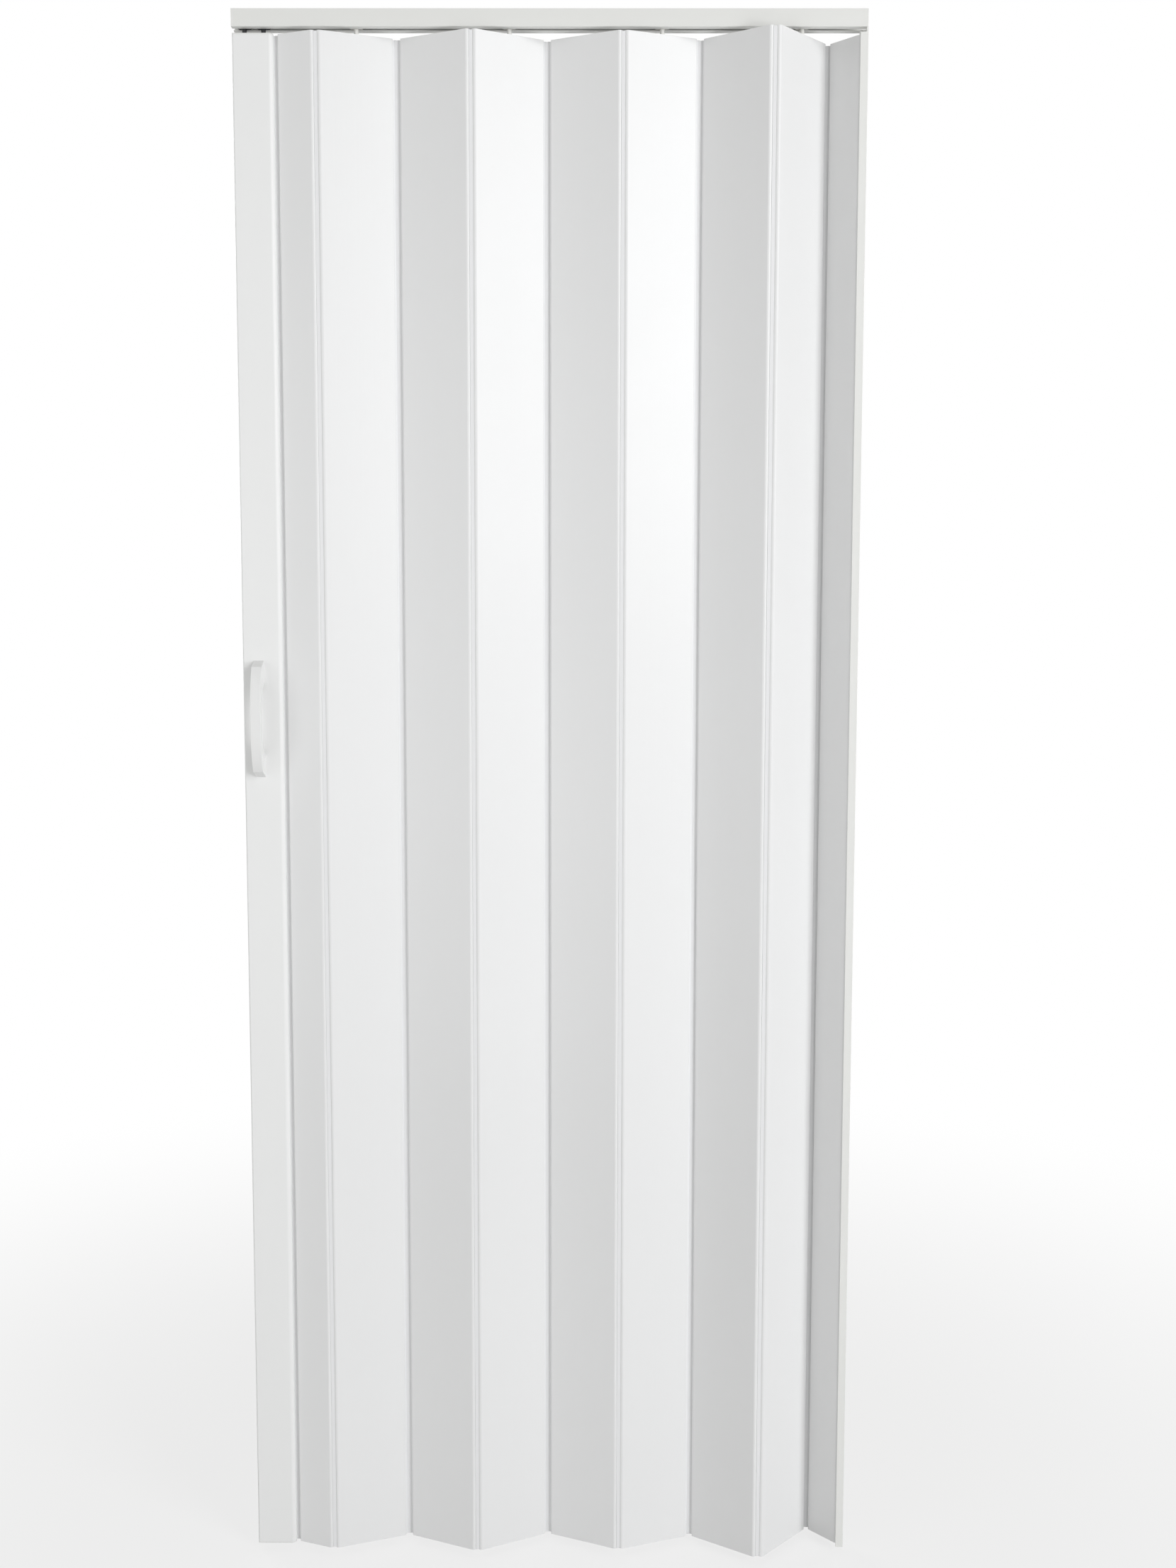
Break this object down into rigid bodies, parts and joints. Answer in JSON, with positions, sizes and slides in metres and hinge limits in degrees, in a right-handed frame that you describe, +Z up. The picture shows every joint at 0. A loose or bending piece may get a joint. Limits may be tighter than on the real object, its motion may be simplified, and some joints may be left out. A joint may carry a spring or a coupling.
{
  "type": "folding door",
  "caption": "Accordion folding door of hollow plastic slats on flexible hinge strips, hung from a header track, with a pull handle.",
  "frame": {"origin": "middle of the header track's top face, where it meets the head of the opening", "axes": "+Z up out of the track's top face, +X along the track towards the wall post where the slats stack, -Y towards the viewer of the picture"},
  "size_m": [0.83, 0.0804, 2.1],
  "materials": {
    "track": "extruded white plastic",
    "slat": "smooth extruded white plastic",
    "strip": "flexible grade white plastic",
    "post": "smooth extruded white plastic",
    "cap": "moulded white plastic",
    "handle": "moulded white plastic",
    "hanger": "moulded nylon",
    "screw": "zinc plated"
  },
  "bodies": {
    "frame": {"header_track": "track", "wall_post": "track"},
    "slat_i": {"slat_i": "slat"},
    "strip_hi": {"hinge_strip_hi": "strip"},
    "slat_h": {"slat_h": "slat", "hanger_pin_h": "hanger"},
    "strip_gh": {"hinge_strip_gh": "strip"},
    "slat_g": {"slat_g": "slat"},
    "strip_fg": {"hinge_strip_fg": "strip"},
    "slat_f": {"slat_f": "slat", "hanger_pin_f": "hanger"},
    "strip_ef": {"hinge_strip_ef": "strip"},
    "slat_e": {"slat_e": "slat"},
    "strip_de": {"hinge_strip_de": "strip"},
    "slat_d": {"slat_d": "slat", "hanger_pin_d": "hanger"},
    "strip_cd": {"hinge_strip_cd": "strip"},
    "slat_c": {"slat_c": "slat"},
    "strip_bc": {"hinge_strip_bc": "strip"},
    "slat_b": {"slat_b": "slat", "hanger_pin_b": "hanger"},
    "strip_ab": {"hinge_strip_ab": "strip"},
    "slat_a": {"slat_a": "slat"},
    "leading_post": {"lead_post": "post", "lead_post_top_cap": "cap", "lead_post_bottom_cap": "cap", "lead_post_hanger_pins": "hanger", "hinge_strip_lead": "strip", "handle_front": "handle", "handle_rear": "handle", "handle_screws": "screw"}
  },
  "joints": [
    {"name": "fold_slat_i", "type": "hinge", "parent": "frame", "child": "slat_i", "pos_m": [0.40745, 0, -1.065], "axis": [0, 0, -1], "range_deg": [0, 41.2]},
    {"name": "turn_strip_hi", "type": "hinge", "parent": "slat_i", "child": "strip_hi", "pos_m": [0.37418, 0.03543, -1.065], "axis": [0, 0, 1], "range_deg": [0, 41.21]},
    {"name": "fold_slat_h", "type": "hinge", "parent": "strip_hi", "child": "slat_h", "pos_m": [0.36338, 0.03543, -1.065], "axis": [0, 0, 1], "range_deg": [0, 41.21]},
    {"name": "turn_strip_gh", "type": "hinge", "parent": "slat_h", "child": "strip_gh", "pos_m": [0.29685, -0.03543, -1.065], "axis": [0, 0, 1], "range_deg": [-41.21, 0]},
    {"name": "fold_slat_g", "type": "hinge", "parent": "strip_gh", "child": "slat_g", "pos_m": [0.28605, -0.03543, -1.065], "axis": [0, 0, 1], "range_deg": [-55.63, 0]},
    {"name": "turn_strip_fg", "type": "hinge", "parent": "slat_g", "child": "strip_fg", "pos_m": [0.20397, 0.01662, -1.065], "axis": [0, 0, 1], "range_deg": [0, 55.63]},
    {"name": "fold_slat_f", "type": "hinge", "parent": "strip_fg", "child": "slat_f", "pos_m": [0.19317, 0.01662, -1.065], "axis": [0, 0, 1], "range_deg": [0, 68.01]},
    {"name": "turn_strip_ef", "type": "hinge", "parent": "slat_f", "child": "strip_ef", "pos_m": [0.10183, -0.01662, -1.065], "axis": [0, 0, 1], "range_deg": [-68.01, 0]},
    {"name": "fold_slat_e", "type": "hinge", "parent": "strip_ef", "child": "slat_e", "pos_m": [0.09103, -0.01662, -1.065], "axis": [0, 0, 1], "range_deg": [-65.04, 0]},
    {"name": "turn_strip_de", "type": "hinge", "parent": "slat_e", "child": "strip_de", "pos_m": [0.00154, 0.0213, -1.065], "axis": [0, 0, 1], "range_deg": [0, 65.04]},
    {"name": "fold_slat_d", "type": "hinge", "parent": "strip_de", "child": "slat_d", "pos_m": [-0.00926, 0.0213, -1.065], "axis": [0, 0, 1], "range_deg": [0, 62.01]},
    {"name": "turn_strip_cd", "type": "hinge", "parent": "slat_d", "child": "strip_cd", "pos_m": [-0.09661, -0.0213, -1.065], "axis": [0, 0, 1], "range_deg": [-62.01, 0]},
    {"name": "fold_slat_c", "type": "hinge", "parent": "strip_cd", "child": "slat_c", "pos_m": [-0.10741, -0.0213, -1.065], "axis": [0, 0, 1], "range_deg": [-65.04, 0]},
    {"name": "turn_strip_bc", "type": "hinge", "parent": "slat_c", "child": "strip_bc", "pos_m": [-0.1969, 0.01662, -1.065], "axis": [0, 0, 1], "range_deg": [0, 65.04]},
    {"name": "fold_slat_b", "type": "hinge", "parent": "strip_bc", "child": "slat_b", "pos_m": [-0.2077, 0.01662, -1.065], "axis": [0, 0, 1], "range_deg": [0, 68.01]},
    {"name": "turn_strip_ab", "type": "hinge", "parent": "slat_b", "child": "strip_ab", "pos_m": [-0.29903, -0.01662, -1.065], "axis": [0, 0, 1], "range_deg": [-68.01, 0]},
    {"name": "fold_slat_a", "type": "hinge", "parent": "strip_ab", "child": "slat_a", "pos_m": [-0.30983, -0.01662, -1.065], "axis": [0, 0, 1], "range_deg": [-68.01, 0]},
    {"name": "turn_leading_post", "type": "hinge", "parent": "slat_a", "child": "leading_post", "pos_m": [-0.3555, 0, -1.065], "axis": [0, 0, 1], "range_deg": [0, 68.01]}
  ],
  "couplings": [
    {"joint": "turn_strip_hi", "follows": "fold_slat_i", "ratio": 1},
    {"joint": "fold_slat_h", "follows": "fold_slat_i", "ratio": 1},
    {"joint": "turn_strip_gh", "follows": "fold_slat_i", "ratio": -1},
    {"joint": "fold_slat_g", "follows": "fold_slat_i", "ratio": -1.3501},
    {"joint": "turn_strip_fg", "follows": "fold_slat_i", "ratio": 1.3501},
    {"joint": "fold_slat_f", "follows": "fold_slat_i", "ratio": 1.6505},
    {"joint": "turn_strip_ef", "follows": "fold_slat_i", "ratio": -1.6505},
    {"joint": "fold_slat_e", "follows": "fold_slat_i", "ratio": -1.5785},
    {"joint": "turn_strip_de", "follows": "fold_slat_i", "ratio": 1.5785},
    {"joint": "fold_slat_d", "follows": "fold_slat_i", "ratio": 1.5049},
    {"joint": "turn_strip_cd", "follows": "fold_slat_i", "ratio": -1.5049},
    {"joint": "fold_slat_c", "follows": "fold_slat_i", "ratio": -1.5785},
    {"joint": "turn_strip_bc", "follows": "fold_slat_i", "ratio": 1.5785},
    {"joint": "fold_slat_b", "follows": "fold_slat_i", "ratio": 1.6505},
    {"joint": "turn_strip_ab", "follows": "fold_slat_i", "ratio": -1.6505},
    {"joint": "fold_slat_a", "follows": "fold_slat_i", "ratio": -1.6505},
    {"joint": "turn_leading_post", "follows": "fold_slat_i", "ratio": 1.6505}
  ]
}
